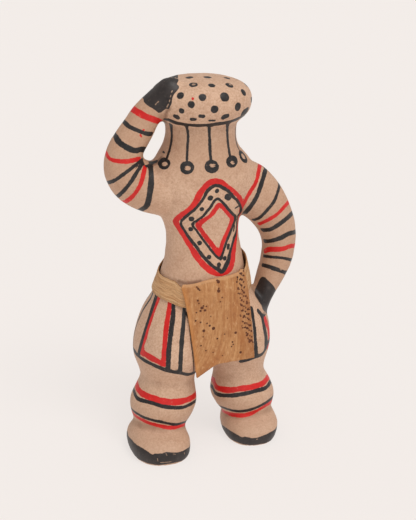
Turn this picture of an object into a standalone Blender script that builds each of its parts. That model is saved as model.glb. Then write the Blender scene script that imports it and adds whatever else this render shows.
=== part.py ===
"""A standing ceramic doll with a bast waistband and a bark-cloth apron.

Run it with blender --background --python part.py, or from Blender's text editor.
Metres, +Z up. The doll faces -Y, its left arm is at +X, and it stands on Z = 0. The origin is
under the middle of its bounding box.
"""

import math

import bmesh
import bpy
from mathutils import Vector
from mathutils.bvhtree import BVHTree

# Driving dimensions
FIGURE_HEIGHT = 0.220
BAND_WIDTH = 0.0164
BAND_GATHER = 0.0028
BAND_DIP = 0.0024
APRON_SAG = 0.0028
SIDE_DIP = 0.0038
BAND_THICKNESS = 0.0013
APRON_THICKNESS = 0.0010
APRON_TUCK = 0.0055
CLEARANCE = 0.0003

# The figure's own proportions, in parts of its height: 220 units from the soles to the crown
UNIT = FIGURE_HEIGHT / 220
CLAY_GRAIN = 1.6 * UNIT
CLAY_SMOOTHING = 7
FIGURE_TRIANGLES = 6900

# Each row is the middle's x, y and z, then the half width and half depth there, in units
NECK_AND_TORSO = [
    (-0.5, 0, 204, 18.0, 17.0),
    (-0.7, 0, 194, 20.1, 18.6),
    (-0.9, 0, 187.5, 20.2, 18.6),
    (-1.2, 0, 182.5, 21.0, 19.0),
    (-1.3, 0, 178, 23.2, 19.8),
    (-0.9, 0, 173, 27.2, 20.8),
    (-0.6, 0, 166, 31.4, 21.4),
    (-0.8, 0, 158, 31.4, 21.4),
    (-1.0, 0, 148, 27.2, 20.0),
    (-1.0, 0, 140, 23.8, 18.8),
    (-0.5, -0.3, 133, 21.9, 17.8),
    (-0.2, -0.5, 126, 21.6, 17.6),
    (0.2, -0.8, 118.5, 22.6, 18.5),
    (0.2, -0.8, 110, 24.2, 20.2),
    (-0.3, -0.4, 100, 27.3, 22.4),
    (-0.4, 0.6, 90, 30.8, 24.6),
    (0.0, 1.2, 80, 32.6, 25.2),
    (0.0, 1.0, 68, 32.0, 23.0),
    (0.0, 0, 56, 22.0, 16.0),
    (0.0, 0, 50, 10.0, 8.0),
]
HEAD_CAP = [
    (-0.8, 0, 190, 16.0, 15.2),
    (-0.8, 0, 193, 19.4, 18.4),
    (-0.8, 0, 196, 23.8, 22.6),
    (-0.6, 0, 200, 27.6, 25.8),
    (-0.6, 0, 205, 28.9, 27.0),
    (-0.8, 0, 210, 28.3, 26.4),
    (-1.0, 0, 214, 25.1, 23.6),
    (-1.2, 0, 217, 19.0, 18.0),
    (-1.6, 0, 218.7, 11.2, 10.4),
    (-1.6, 0, 219.4, 4.0, 4.0),
]
RAISED_ARM = [
    (-10, 0, 155.4, 15.8, 15.0),
    (-24, 0, 156.4, 15.4, 14.5),
    (-34, 0, 159, 14.4, 13.5),
    (-42, 0, 164.2, 13.5, 12.6),
    (-46, 0, 172.4, 12.0, 11.6),
    (-45, 0, 180.5, 9.9, 10.8),
    (-40.9, 0, 187, 9.5, 10.2),
    (-36.6, 0, 193.3, 8.9, 9.6),
    (-33.4, -1, 199, 8.3, 9.0),
    (-29.1, -3, 204.9, 7.3, 8.6),
    (-23.9, -5.5, 210.4, 7.1, 8.2),
    (-20.4, -7.5, 214.1, 6.8, 7.2),
    (-12.6, -8.5, 213.4, 3.3, 4.8),
]
LOWERED_ARM = [
    (12, 0, 156.5, 15.4, 14.0),
    (26, 0, 152.8, 15.8, 14.2),
    (35.2, 0, 145.8, 14.4, 13.2),
    (42.2, 0, 136.8, 12.6, 12.3),
    (46.8, 0, 127, 11.3, 11.4),
    (48.4, 0, 117, 10.1, 10.6),
    (47.1, 0, 107, 9.5, 10.0),
    (44.1, -0.5, 99.3, 8.4, 9.5),
    (40.2, -1.5, 92, 7.1, 9.0),
    (37.4, -2.5, 85, 5.8, 8.0),
    (36.2, -3.5, 78, 3.8, 6.0),
    (36, -4, 73, 1.8, 3.0),
]
RIGHT_LEG = [
    (-13, 0, 94, 15.4, 18.0),
    (-17.4, 0, 84, 17.6, 23.5),
    (-20, -0.5, 74, 19.8, 25.0),
    (-21.2, -1, 64, 21.2, 25.2),
    (-21.6, -1.5, 56, 20.9, 24.5),
    (-22.2, -2, 49, 18.1, 20.5),
    (-23.2, -2.5, 42.5, 16.0, 17.2),
    (-25, -3, 35, 18.0, 19.0),
    (-26.2, -3, 28, 20.0, 20.6),
    (-26.9, -3, 20, 18.4, 19.0),
    (-28, -3, 13, 15.2, 15.6),
    (-28.6, -3, 7, 13.4, 13.6),
]
LEFT_LEG = [
    (12.4, 0, 94, 14.0, 18.0),
    (17.2, 0, 84, 18.0, 23.5),
    (19.8, -0.5, 74, 19.9, 25.0),
    (20.6, -1, 64, 20.2, 25.2),
    (20.8, -1.5, 56, 19.4, 24.0),
    (21.4, -2, 48, 16.8, 19.5),
    (22.4, -2.5, 40, 15.2, 16.8),
    (23.6, -3, 32, 18.0, 18.6),
    (24.6, -3, 25, 19.7, 19.8),
    (25.9, -3, 18, 17.6, 18.0),
    (27.2, -3, 12, 14.4, 15.0),
    (27.6, -3, 6, 12.6, 13.2),
]
# The feet are level slices too, but squarer than an ellipse, and each is turned about its middle
RIGHT_FOOT = [
    (-32.0, -11.0, -5, 13.8, 21.4),
    (-32.0, -11.0, 1, 17.4, 23.9),
    (-32.3, -11.1, 5, 18.1, 24.6),
    (-32.4, -11, 9, 17.6, 23.8),
    (-31.8, -9.3, 13, 14.8, 19.6),
    (-30.2, -5.5, 16.5, 10.4, 12.2),
]
LEFT_FOOT = [
    (26.6, -8.0, -5, 12.2, 20.4),
    (26.6, -8.0, 1, 15.6, 22.9),
    (26.8, -8.2, 5, 16.6, 23.6),
    (27.3, -8.3, 9, 16.5, 23.0),
    (27.8, -6.6, 12.5, 14.6, 18.6),
    (27.6, -5, 15.5, 10.0, 11.5),
]
FOOT_SQUARENESS = 2.45
RIGHT_FOOT_TURN = math.radians(-4)
LEFT_FOOT_TURN = math.radians(-8)

# The waistband's top edge, in units: its mean height at the doll's sides, and how much higher it is
# at the doll's left side, lower in front and higher at the back. It dips where the apron's corner
# pulls it and at the doll's right side, and is gathered narrower beside the apron
BAND_TOP = 111.9
BAND_LEAN = 2.9
BAND_FALL = 6.0
BACK_RISE = 7.0
BAND_REACH = 34.0
DIP_TURN = math.radians(311)
DIP_SPREAD = math.radians(17)
SIDE_TURN = math.radians(160)
SIDE_SPREAD = math.radians(30)
GATHER_TURN = math.radians(205)
GATHER_SPREAD = math.radians(25)
SAG_BEFORE = math.radians(12)
SAG_AFTER = math.radians(38)
BAND_COLUMNS = 64
BAND_ROWS = 4

# The apron: the turn of its two upper corners round the band, then its hem, in units
APRON_FROM = math.radians(225)
APRON_TO = math.radians(315)
ROOM_FADE_RIGHT = math.radians(16)
ROOM_FADE_LEFT = math.radians(60)
HEM_CORNER = (-13.0, 48.0)
HEM_MIDDLE = (-0.9, 54.9)
HEM_END = (22.4, 56.6)
HEM_LIFT = 0.0006
APRON_COLUMNS = 16
FRONT_ROWS = 14
FOLD_ROWS = 5
TUCK_ROWS = 2
SETTLING = 60

# Building values
RING_SIDES = 28
RING_STEPS = 4
FACET_ALLOWANCE = 0.00012
CLAY_COLOUR = (0.56, 0.38, 0.27, 1)
BAST_COLOUR = (0.60, 0.40, 0.22, 1)
BARK_COLOUR = (0.53, 0.31, 0.15, 1)
Y_AXIS = Vector((0, 1, 0))
Z_AXIS = Vector((0, 0, 1))


# Scene helpers


def clear_scene():
    for leftover in list(bpy.data.objects):
        bpy.data.objects.remove(leftover, do_unlink=True)


def new_collection(name):
    collection = bpy.data.collections.new(name)
    bpy.context.scene.collection.children.link(collection)
    return collection


def new_material(name, colour, roughness):
    material = bpy.data.materials.new(name)
    material.use_nodes = True
    shader = material.node_tree.nodes["Principled BSDF"]
    shader.inputs["Base Color"].default_value = colour
    shader.inputs["Roughness"].default_value = roughness
    shader.inputs["Metallic"].default_value = 0.0
    material.diffuse_color = colour
    return material


def finish_object(name, shape, collection, material):
    """Turns a bmesh into a smooth-shaded object with outward faces."""
    bmesh.ops.recalc_face_normals(shape, faces=shape.faces)
    mesh = bpy.data.meshes.new(name)
    shape.to_mesh(mesh)
    shape.free()
    mesh.materials.append(material)
    mesh.shade_smooth()
    piece = bpy.data.objects.new(name, mesh)
    collection.objects.link(piece)
    return piece


def between(start, end, share):
    return start + (end - start) * share


# The clay figure


def curved(before, start, end, after, share):
    """One value of a Catmull-Rom curve, share of the way from start to end."""
    return 0.5 * (
        2 * start
        + (end - before) * share
        + (2 * before - 5 * start + 4 * end - after) * share**2
        + (3 * start - before - 3 * end + after) * share**3
    )


def smooth_rows(rows, steps):
    """The table's rows, with more rows on a smooth curve between them."""
    padded = [rows[0], *rows, rows[-1]]
    smooth = []
    for index in range(len(rows) - 1):
        four = padded[index : index + 4]
        for step in range(steps):
            smooth.append([curved(*values, step / steps) for values in zip(*four)])
    smooth.append(list(rows[-1]))
    return smooth


def squared(value, squareness):
    """A circle's sine or cosine, pushed outwards to round off a rectangle instead."""
    return math.copysign(abs(value) ** (2 / squareness), value)


def add_limb(shape, table, level=True, squareness=2, turn=0):
    """Adds one closed limb to shape. Its rings are level, or square to the limb's own line."""
    rows = smooth_rows(table, RING_STEPS)
    centres = [Vector(row[:3]) * UNIT for row in rows]
    rings = []
    for index, row in enumerate(rows):
        side = Vector((math.cos(turn), math.sin(turn), 0))
        depth = Vector((-math.sin(turn), math.cos(turn), 0))
        if not level:
            before = centres[max(index - 1, 0)]
            after = centres[min(index + 1, len(rows) - 1)]
            along = (after - before).normalized()
            depth = (Y_AXIS - Y_AXIS.dot(along) * along).normalized()
            side = depth.cross(along)
        half_width, half_depth = row[3] * UNIT, row[4] * UNIT
        ring = []
        for corner in range(RING_SIDES):
            angle = 2 * math.pi * corner / RING_SIDES
            across = half_width * squared(math.cos(angle), squareness)
            forward = half_depth * squared(math.sin(angle), squareness)
            ring.append(shape.verts.new(centres[index] + side * across + depth * forward))
        rings.append(ring)
    for first, second in zip(rings, rings[1:]):
        for corner in range(RING_SIDES):
            following = (corner + 1) % RING_SIDES
            shape.faces.new((first[corner], first[following], second[following], second[corner]))
    shape.faces.new(rings[0])
    shape.faces.new(rings[-1])


def floor_cutter(helpers):
    """A block whose top face is the floor."""
    bpy.ops.mesh.primitive_cube_add(size=FIGURE_HEIGHT)
    cutter = bpy.context.object
    cutter.name = "floor_cutter"
    cutter.location = (0, 0, -FIGURE_HEIGHT / 2)
    for owner in list(cutter.users_collection):
        owner.objects.unlink(cutter)
    helpers.objects.link(cutter)
    cutter.hide_render = True
    cutter.display_type = "WIRE"
    return cutter


def build_figure(collection, helpers, material):
    """The whole figure as one clay solid: limbs pressed together, smoothed, and cut flat below."""
    shape = bmesh.new()
    add_limb(shape, NECK_AND_TORSO)
    add_limb(shape, HEAD_CAP)
    add_limb(shape, RIGHT_LEG)
    add_limb(shape, LEFT_LEG)
    add_limb(shape, RIGHT_FOOT, squareness=FOOT_SQUARENESS, turn=RIGHT_FOOT_TURN)
    add_limb(shape, LEFT_FOOT, squareness=FOOT_SQUARENESS, turn=LEFT_FOOT_TURN)
    add_limb(shape, RAISED_ARM, level=False)
    add_limb(shape, LOWERED_ARM, level=False)
    figure = finish_object("figure", shape, collection, material)

    fuse = figure.modifiers.new("Fuse the limbs", "REMESH")
    fuse.mode = "VOXEL"
    fuse.voxel_size = CLAY_GRAIN
    fuse.use_smooth_shade = True

    smooth = figure.modifiers.new("Smooth the clay", "SMOOTH")
    smooth.factor = 0.5
    smooth.iterations = CLAY_SMOOTHING

    bpy.context.view_layer.update()
    evaluated = figure.evaluated_get(bpy.context.evaluated_depsgraph_get())
    fine_triangles = 2 * len(evaluated.data.polygons)
    thin = figure.modifiers.new("Fewer faces", "DECIMATE")
    thin.ratio = min(1.0, FIGURE_TRIANGLES / fine_triangles)

    cut = figure.modifiers.new("Flat soles", "BOOLEAN")
    cut.operation = "DIFFERENCE"
    cut.object = floor_cutter(helpers)
    return figure


def skin_of(*pieces):
    """The evaluated surfaces of these pieces, for measuring against."""
    bpy.context.view_layer.update()
    graph = bpy.context.evaluated_depsgraph_get()
    return [BVHTree.FromObject(piece, graph) for piece in pieces]


# The waistband


def facing(turn):
    """The level direction away from the doll's axis; -90 degrees is its front."""
    return Vector((math.cos(turn), math.sin(turn), 0))


def skin_radius(skin, turn, height):
    """How far the hips reach from the axis at this height, towards this turn."""
    reach = BAND_REACH * UNIT
    start = facing(turn) * reach + Z_AXIS * height
    return reach - skin.ray_cast(start, -facing(turn), reach)[3]


def swell(turn, middle, spread):
    """A smooth bump round the band: 1 at its middle, and gone a few spreads away."""
    away = math.remainder(turn - middle, math.tau)
    return math.exp(-((away / spread) ** 2) / 2)


def band_dip(turn):
    side = SIDE_DIP * swell(turn, SIDE_TURN, SIDE_SPREAD)
    return side + BAND_DIP * swell(turn, DIP_TURN, DIP_SPREAD)


def apron_sag(turn):
    """How far the apron's corner at the doll's right presses the band's edge down."""
    away = math.remainder(turn - APRON_FROM, math.tau)
    share = max(0, 1 - away / SAG_AFTER) if away > 0 else max(0, 1 + away / SAG_BEFORE)
    return APRON_SAG * share * share * (3 - 2 * share)


def band_top(turn):
    back = math.sin(turn)
    rise = BAND_LEAN * math.cos(turn) + back * (BACK_RISE if back > 0 else BAND_FALL)
    return (BAND_TOP + rise) * UNIT - band_dip(turn) - apron_sag(turn)


def band_width(turn):
    gather = BAND_GATHER * swell(turn, GATHER_TURN, GATHER_SPREAD)
    return BAND_WIDTH - gather - band_dip(turn) - apron_sag(turn)


def apron_room(turn):
    """How far the band's upper edge stands off the hips: the apron's tuck fits behind it."""
    after = (turn - APRON_TO) % math.tau
    before = (APRON_FROM - turn) % math.tau
    share = 1
    if after + before < math.tau:
        share = max(0, 1 - after / ROOM_FADE_LEFT, 1 - before / ROOM_FADE_RIGHT)
    return (APRON_THICKNESS + CLEARANCE) * share


def band_point(skin, turn, share, proud=0.0):
    """A point on the band's middle surface, share of its width up from its lower edge.

    The band lies on the hips at its lower edge, and leaves room for the apron's tuck above.
    """
    height = band_top(turn) - band_width(turn) * (1 - share)
    opening = min(1, share * 2)
    stand_off = CLEARANCE + FACET_ALLOWANCE + apron_room(turn) * opening * (2 - opening)
    radius = skin_radius(skin, turn, height) + stand_off + BAND_THICKNESS / 2
    return facing(turn) * (radius + proud) + Z_AXIS * height


def add_thickness(piece, thickness):
    solid = piece.modifiers.new("Thickness", "SOLIDIFY")
    solid.thickness = thickness
    solid.offset = 0
    solid.use_even_offset = True


def build_band(collection, material, skin):
    shape = bmesh.new()
    rings = []
    for row in range(BAND_ROWS + 1):
        ring = []
        for column in range(BAND_COLUMNS):
            turn = 2 * math.pi * column / BAND_COLUMNS
            ring.append(shape.verts.new(band_point(skin, turn, row / BAND_ROWS)))
        rings.append(ring)
    for lower, upper in zip(rings, rings[1:]):
        for column in range(BAND_COLUMNS):
            following = (column + 1) % BAND_COLUMNS
            shape.faces.new((lower[column], lower[following], upper[following], upper[column]))
    band = finish_object("waist_band", shape, collection, material)
    add_thickness(band, BAND_THICKNESS)
    return band


# The apron


def hem_point(share):
    """The hem's x and height: a longer corner at the doll's right, then level."""
    bend = (HEM_MIDDLE[0] - HEM_CORNER[0]) / (HEM_END[0] - HEM_CORNER[0])
    if share < bend:
        ends, share = (HEM_CORNER, HEM_MIDDLE), share / bend
    else:
        ends, share = (HEM_MIDDLE, HEM_END), (share - bend) / (1 - bend)
    return [between(start, end, share) * UNIT for start, end in zip(*ends)]


def front_of(surfaces, x, height, gap):
    """The y that keeps this gap in front of every surface behind this place, or None.

    A leaning surface needs more room in front of it than the gap, as one over the cosine of its
    lean. That is taken by its first terms here, so that it stays small where a surface is edge-on.
    """
    found = None
    start = Vector((x, -FIGURE_HEIGHT, height))
    for surface in surfaces:
        hit, normal = surface.ray_cast(start, Y_AXIS)[:2]
        if hit:
            lean = 1 - abs(normal.y)
            y = hit.y - gap * (1 + lean + lean * lean)
            found = y if found is None else min(found, y)
    return found


def apron_fold(skin, turn):
    """The turn of the sheet over the band's top edge, from behind the band to its front."""
    half_gap = (BAND_THICKNESS + APRON_THICKNESS) / 2 + CLEARANCE
    points = []
    for row in range(TUCK_ROWS):
        depth = APRON_TUCK * (1 - row / TUCK_ROWS)
        share = 1 - depth / band_width(turn)
        points.append(band_point(skin, turn, share, proud=-half_gap))
    top = band_point(skin, turn, 1)
    for row in range(FOLD_ROWS + 1):
        angle = math.pi * row / FOLD_ROWS
        away = facing(turn) * (-half_gap * math.cos(angle))
        points.append(top + away + Z_AXIS * (half_gap * math.sin(angle)))
    return points


def apron_front(surfaces, tops):
    """The hanging part of the sheet, as rows of points below its fold, settled on what it meets."""
    gap = CLEARANCE + APRON_THICKNESS / 2 + FACET_ALLOWANCE
    rows = [tops]
    limits = [[top.y for top in tops]]
    for row in range(1, FRONT_ROWS + 1):
        fall = row / FRONT_ROWS
        points = []
        limit = []
        for column, top in enumerate(tops):
            hem_x, hem_z = hem_point(column / APRON_COLUMNS)
            x, z = between(top.x, hem_x, fall), between(top.z, hem_z, fall)
            y = front_of(surfaces, x, z, gap + HEM_LIFT * fall)
            y = limits[-1][column] if y is None else y
            limit.append(y)
            points.append(Vector((x, y, z)))
        rows.append(points)
        limits.append(limit)
    for _ in range(SETTLING):
        for row in range(1, FRONT_ROWS + 1):
            for column in range(APRON_COLUMNS + 1):
                left, right = max(column - 1, 0), min(column + 1, APRON_COLUMNS)
                above, below = rows[row - 1], rows[min(row + 1, FRONT_ROWS)]
                beside = rows[row][left].y + rows[row][right].y
                level = (beside + above[column].y + below[column].y) / 4
                rows[row][column].y = min(level, limits[row][column])
    return rows[1:]


def build_apron(collection, material, skin, surfaces):
    columns = []
    for column in range(APRON_COLUMNS + 1):
        turn = between(APRON_FROM, APRON_TO, column / APRON_COLUMNS)
        columns.append(apron_fold(skin, turn))
    rows = [list(row) for row in zip(*columns)]
    rows += apron_front(surfaces, rows[-1])
    shape = bmesh.new()
    grid = [[shape.verts.new(point) for point in row] for row in rows]
    for upper, lower in zip(grid, grid[1:]):
        for column in range(APRON_COLUMNS):
            following = column + 1
            shape.faces.new((upper[column], lower[column], lower[following], upper[following]))
    apron = finish_object("apron_flap", shape, collection, material)
    add_thickness(apron, APRON_THICKNESS)
    return apron


def centre(pieces):
    """Moves everything so that the origin is under the middle of the bounding box."""
    bpy.context.view_layer.update()
    graph = bpy.context.evaluated_depsgraph_get()
    corners = [
        piece.matrix_world @ Vector(corner)
        for piece in pieces
        for corner in piece.evaluated_get(graph).bound_box
    ]
    middle = [(min(c[i] for c in corners) + max(c[i] for c in corners)) / 2 for i in (0, 1)]
    for piece in bpy.data.objects:
        piece.location.x -= middle[0]
        piece.location.y -= middle[1]


def main():
    clear_scene()
    doll = new_collection("Ceramic doll")
    helpers = new_collection("Cutters")
    clay = new_material("Clay", CLAY_COLOUR, 0.75)
    bast = new_material("Bast", BAST_COLOUR, 0.8)
    bark = new_material("Bark cloth", BARK_COLOUR, 0.8)
    figure = build_figure(doll, helpers, clay)
    (skin,) = skin_of(figure)
    band = build_band(doll, bast, skin)
    apron = build_apron(doll, bark, skin, skin_of(figure, band))
    centre([figure, band, apron])


main()
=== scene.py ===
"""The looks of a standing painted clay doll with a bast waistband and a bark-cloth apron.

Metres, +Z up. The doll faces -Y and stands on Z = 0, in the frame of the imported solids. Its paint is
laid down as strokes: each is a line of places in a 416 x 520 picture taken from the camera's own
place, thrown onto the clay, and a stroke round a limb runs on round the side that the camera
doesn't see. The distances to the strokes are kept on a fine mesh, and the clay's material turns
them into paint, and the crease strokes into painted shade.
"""

import math

import bpy
import numpy as np
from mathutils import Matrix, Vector, noise
from mathutils.bvhtree import BVHTree


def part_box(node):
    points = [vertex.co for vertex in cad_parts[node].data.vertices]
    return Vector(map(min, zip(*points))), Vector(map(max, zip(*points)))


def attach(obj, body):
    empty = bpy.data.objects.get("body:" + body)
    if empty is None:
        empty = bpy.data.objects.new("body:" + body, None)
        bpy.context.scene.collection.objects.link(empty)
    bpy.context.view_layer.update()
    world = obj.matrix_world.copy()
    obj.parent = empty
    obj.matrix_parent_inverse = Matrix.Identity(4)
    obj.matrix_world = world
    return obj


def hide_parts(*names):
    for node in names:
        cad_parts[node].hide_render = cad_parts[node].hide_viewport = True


MM = 0.001

# The figure's own axis in the frame, and the camera, with its focal length in pixels of the picture
AXIS = Vector((-0.313, 4.329, 0)) * MM
PICTURE_WIDTH, PICTURE_HEIGHT = 416, 520
FOCAL = 1130.0
SENSOR = 36.0
EYE = AXIS + Vector((-0.21376, -0.58731, 0.326))
EYE_TURN = math.radians(-20.3)
EYE_TILT = math.radians(19.0)
FORWARD = Vector((
    -math.sin(EYE_TURN) * math.cos(EYE_TILT),
    math.cos(EYE_TURN) * math.cos(EYE_TILT),
    -math.sin(EYE_TILT),
))
RIGHT = Vector((math.cos(EYE_TURN), math.sin(EYE_TURN), 0))
UP = RIGHT.cross(FORWARD)

# The middle lines of the limbs from that axis, in millimetres
RAISED_ARM = [
    (-24, 0, 156.4), (-34, 0, 159), (-42, 0, 164.2), (-46, 0, 172.4), (-45, 0, 180.5),
    (-41, 0, 187), (-36.6, 0, 193.3), (-33.1, -1, 199), (-29.6, -3, 204.9), (-24.6, -5.5, 210),
    (-18.6, -7.5, 213),
]
LOWERED_ARM = [
    (20, 0, 154.5), (35.2, 0, 145.8), (42.2, 0, 136.8), (46.8, 0, 127), (48.4, 0, 117),
    (47.1, 0, 107), (44.1, -0.5, 99.3), (40.2, -1.5, 92), (37.4, -2.5, 85), (36, -4, 75),
]
RIGHT_LEG = [(-20, -0.5, 74), (-21.6, -1.5, 56), (-23.2, -2.5, 42.5), (-26.2, -3, 28), (-28, -3, 8)]
LEFT_LEG = [(19.8, -0.5, 74), (20.8, -1.5, 56), (22.4, -2.5, 40), (24.6, -3, 25), (27.2, -3, 8)]
NECK = [(-0.5, 0, 204), (-0.6, 0, 187.5), (-1, 0, 178), (-0.9, 0, 160)]

# The clay's mesh: how fine it is, and how many rounds even it out
CLAY_GRAIN = 0.85 * MM
CLAY_ROUNDS = 40
# The furthest distance from a stroke that is kept, in millimetres
FAR = 4.0
# How much wider the rings on the limbs are painted than their widths in the tables
BRUSH = 1.12
# The size of a pixel on the doll, and how many pixels apart the points of a stroke are
PIXEL = 0.585 * MM
SPACING = 1.6
# Half the width of the strokes and of the pendants' cords that the camera doesn't see
HIDDEN_HALF = 0.95 * MM
CORD_HALF = 0.65 * MM
# How far beyond its measured edge paint may reach between the mesh's points, in millimetres
CLAY_GUARD, PORE_GUARD = 0.35, 0.12


# Building helpers


def new_piece(name, mesh):
    piece = bpy.data.objects.new(name, mesh)
    bpy.context.scene.collection.objects.link(piece)
    return piece


def mesh_points(mesh):
    points = np.zeros(len(mesh.vertices) * 3, np.float32)
    mesh.vertices.foreach_get("co", points)
    return points.reshape(-1, 3).astype(float)


def set_points(mesh, points):
    mesh.vertices.foreach_set("co", points.astype(np.float32).ravel())
    mesh.update()


def mesh_edges(mesh):
    ends = np.zeros(len(mesh.edges) * 2, np.int32)
    mesh.edges.foreach_get("vertices", ends)
    return ends.reshape(-1, 2)


def mesh_normals(mesh):
    normals = np.zeros(len(mesh.vertices) * 3, np.float32)
    mesh.vertex_normals.foreach_get("vector", normals)
    return normals.reshape(-1, 3).astype(float)


def set_values(mesh, name, values):
    mesh.attributes.new(name, "FLOAT", "POINT").data.foreach_set(
        "value", np.asarray(values, np.float32)
    )


def set_vectors(mesh, name, values):
    mesh.attributes.new(name, "FLOAT_VECTOR", "POINT").data.foreach_set(
        "vector", np.asarray(values, np.float32).ravel()
    )


def outward(turn):
    """The level direction at this angle round the figure's axis."""
    return Vector((math.cos(turn), math.sin(turn), 0))


def face_tree(mesh):
    """A mesh's faces, for finding where lines meet them."""
    faces = [tuple(face.vertices) for face in mesh.polygons]
    return BVHTree.FromPolygons(mesh_points(mesh).tolist(), faces)


def neighbour_mean(values, edges):
    """The mean of each point's neighbours."""
    count = np.bincount(edges.ravel(), minlength=len(values))
    mean = np.empty_like(values)
    for k in range(values.shape[1]):
        total = np.bincount(edges[:, 0], values[edges[:, 1], k], len(values))
        total += np.bincount(edges[:, 1], values[edges[:, 0], k], len(values))
        mean[:, k] = total / np.maximum(count, 1)
    return mean


def smoothed(points, edges, rounds):
    """Evens out facets without shrinking the shape: each round pulls in, then pushes back out."""
    for step in range(2 * rounds):
        share = -0.52 if step % 2 else 0.5
        points = points + share * (neighbour_mean(points, edges) - points)
    return points


def fine_copy(node, grain, rounds):
    """A fine, even mesh of a CAD node's own shape."""
    rough = new_piece("rough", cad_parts[node].data.copy())
    remesh = rough.modifiers.new("Even", "REMESH")
    remesh.mode = "VOXEL"
    remesh.voxel_size = grain
    remesh.use_smooth_shade = True
    bpy.context.view_layer.update()
    graph = bpy.context.evaluated_depsgraph_get()
    mesh = bpy.data.meshes.new_from_object(rough.evaluated_get(graph))
    bpy.data.objects.remove(rough)
    mesh.materials.clear()
    set_points(mesh, smoothed(mesh_points(mesh), mesh_edges(mesh), rounds))
    mesh.shade_smooth()
    return mesh


# Seeing through the camera


def ray_through(x, y):
    away = FORWARD * FOCAL + RIGHT * (x - PICTURE_WIDTH / 2) + UP * (PICTURE_HEIGHT / 2 - y)
    return away.normalized()


def picture_places(points):
    """Where these points are in the picture, in pixels, and how far off they are."""
    away = points - np.array(EYE)
    depth = away @ np.array(FORWARD)
    x = PICTURE_WIDTH / 2 + FOCAL * (away @ np.array(RIGHT)) / depth
    y = PICTURE_HEIGHT / 2 - FOCAL * (away @ np.array(UP)) / depth
    return np.stack([x, y], axis=1), depth


def thrown(tree, x, y):
    """The point of the clay that shows at this place in the picture, or the nearest beside it."""
    away = ray_through(x, y)
    hit = tree.ray_cast(EYE, away)[0]
    if hit:
        return hit
    best, found = math.inf, None
    for step in range(110):
        place, _, _, far = tree.find_nearest(EYE + away * (0.54 + step * 0.002))
        if far < best:
            best, found = far, place
    return found


def curved(four, share):
    before, start, end, after = four
    return 0.5 * (
        2 * start
        + (end - before) * share
        + (2 * before - 5 * start + 4 * end - after) * share**2
        + (3 * start - before - 3 * end + after) * share**3
    )


def dense(places, step, closed=False):
    """The line again, curved through its places, with points about step apart."""
    line = [np.array(place, float) for place in places]
    padded = [line[-1], *line, line[0], line[1]] if closed else [line[0], *line, line[-1]]
    points = []
    for index in range(len(padded) - 3):
        four = padded[index : index + 4]
        parts = max(1, math.ceil(np.linalg.norm(four[2] - four[1]) / step))
        points += [curved(four, part / parts) for part in range(parts)]
    if not closed:
        points.append(line[-1])
    return points


# Paint


class Stroke:
    """A line of points on a surface, and half its width at each of them."""

    def __init__(self, points, half, closed=False):
        self.points = np.array([tuple(point) for point in points], float)
        self.half = np.ones(len(self.points)) * half
        if closed:
            self.points = np.vstack([self.points, self.points[:1]])
            self.half = np.append(self.half, self.half[0])

    def uneven(self, seed):
        """A brush's pressure comes and goes."""
        along = np.concatenate(
            [[0], np.cumsum(np.linalg.norm(np.diff(self.points, axis=0), axis=1))]
        )
        for index, place in enumerate(along / MM):
            swing = noise.noise(Vector((place / 5.5, seed * 7.3, 0)))
            swing += 0.5 * noise.noise(Vector((place / 1.9, seed * 3.1, 5)))
            self.half[index] *= 1 + 0.22 * swing


def spot(tree, x, y, size):
    """A round dab at this place in the picture, and of this size there."""
    return Stroke([thrown(tree, x, y)], size / 2 * PIXEL)


def apart(points, halves, furthest=5 * MM):
    """Strokes along the line, cut into pieces wherever it jumps from one limb to another."""
    cuts = [0]
    for index in range(1, len(points)):
        if (Vector(points[index]) - Vector(points[index - 1])).length > furthest:
            cuts.append(index)
    cuts.append(len(points))
    return [Stroke(points[a:b], halves[a:b]) for a, b in zip(cuts, cuts[1:])]


def line_strokes(tree, width, places, closed=False):
    """A stroke through places in the picture; a place's third number is its own width there.

    The widths are as the picture shows them, so a stroke on slanting clay is wider on the clay.
    """
    filled = [place if len(place) == 3 else (*place, width) for place in places]
    line = dense(filled, SPACING, closed)
    points = [thrown(tree, x, y) for x, y, _ in line]
    pixel = picture_places(np.array(points))[1].mean() / FOCAL
    halves = np.empty(len(line))
    for index, (x, y, wide) in enumerate(line):
        before, after = line[max(0, index - 1)], line[min(len(line) - 1, index + 1)]
        way = Vector((after[0] - before[0], after[1] - before[1])).normalized()
        sides = [thrown(tree, x - way.y * step, y + way.x * step) for step in (-1, 1)]
        slant = (sides[1] - sides[0]).length / 2
        halves[index] = wide / 2 * min(max(slant, pixel), 2.4 * pixel)
    if closed:
        return [Stroke(points, halves, True)]
    return apart(points, halves)


def dash(tree, x, y, long, thick, lean):
    """A short stroke whose middle is at this place in the picture, turned clockwise by its lean."""
    reach = max(long - thick, 0.1) / 2
    step = (reach * math.cos(math.radians(lean)), reach * math.sin(math.radians(lean)))
    ends = [(x - step[0], y - step[1]), (x, y), (x + step[0], y + step[1])]
    return line_strokes(tree, thick, ends)


def loop_strokes(tree, outer, hole):
    """A painted loop: both are ovals in the picture, as their middle, half width and half height."""
    line = []
    for k in range(16):
        way = (math.cos(k * math.tau / 16), math.sin(k * math.tau / 16))
        far, near = (
            (x + wide * way[0], y + high * way[1]) for x, y, wide, high in (outer, hole)
        )
        middle = ((far[0] + near[0]) / 2, (far[1] + near[1]) / 2)
        line.append((*middle, math.dist(far, near)))
    return line_strokes(tree, 1, line, closed=True)


def nearest_on(line, point):
    """The nearest place on a limb's middle line, and the line's direction there."""
    best, found = math.inf, None
    for start, end in zip(line, line[1:]):
        share = (point - start).dot(end - start) / (end - start).length_squared
        place = start + (end - start) * min(1, max(0, share))
        if (place - point).length < best:
            best, found = (place - point).length, (place, (end - start).normalized())
    return found


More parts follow.
